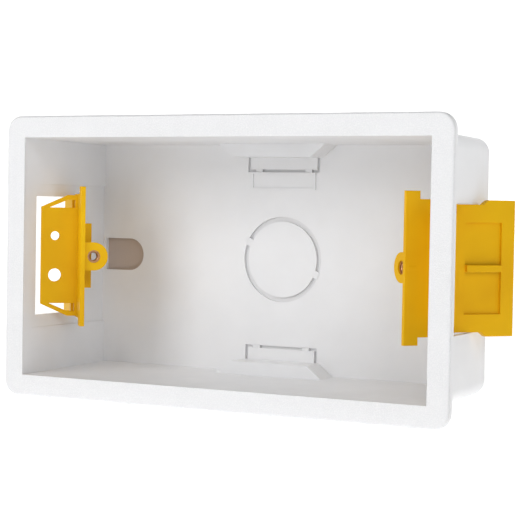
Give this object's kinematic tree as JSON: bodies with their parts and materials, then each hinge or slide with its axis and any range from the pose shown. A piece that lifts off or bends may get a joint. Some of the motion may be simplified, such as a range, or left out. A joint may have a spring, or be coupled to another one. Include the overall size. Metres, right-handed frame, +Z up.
{
  "type": "plasterboard back box",
  "caption": "Rectangular white moulded back box with a front flange, side windows and yellow clamping lugs that slide in them.",
  "frame": {"origin": "middle of the outside face of the back wall", "axes": "+X along the long side, +Y into the wall out of the back face, +Z up"},
  "size_m": [0.1552, 0.047, 0.086],
  "materials": {
    "white_plastic": "satin white moulding with a fine mottle on the flange",
    "yellow_plastic": "satin deep yellow moulding",
    "brass": "turned brass, a little dull"
  },
  "bodies": {
    "box": {"box_body": "white_plastic"},
    "left_lug": {"lug_left": "yellow_plastic", "insert_left": "brass"},
    "right_lug": {"lug_right": "yellow_plastic", "insert_right": "brass"}
  },
  "joints": [
    {"name": "left_clamp", "type": "slide", "parent": "box", "child": "left_lug", "axis": [0, 1, 0], "range_m": [-0.005, 0.0012]},
    {"name": "right_clamp", "type": "slide", "parent": "box", "child": "right_lug", "axis": [0, 1, 0], "range_m": [-0.005, 0.0012]}
  ]
}
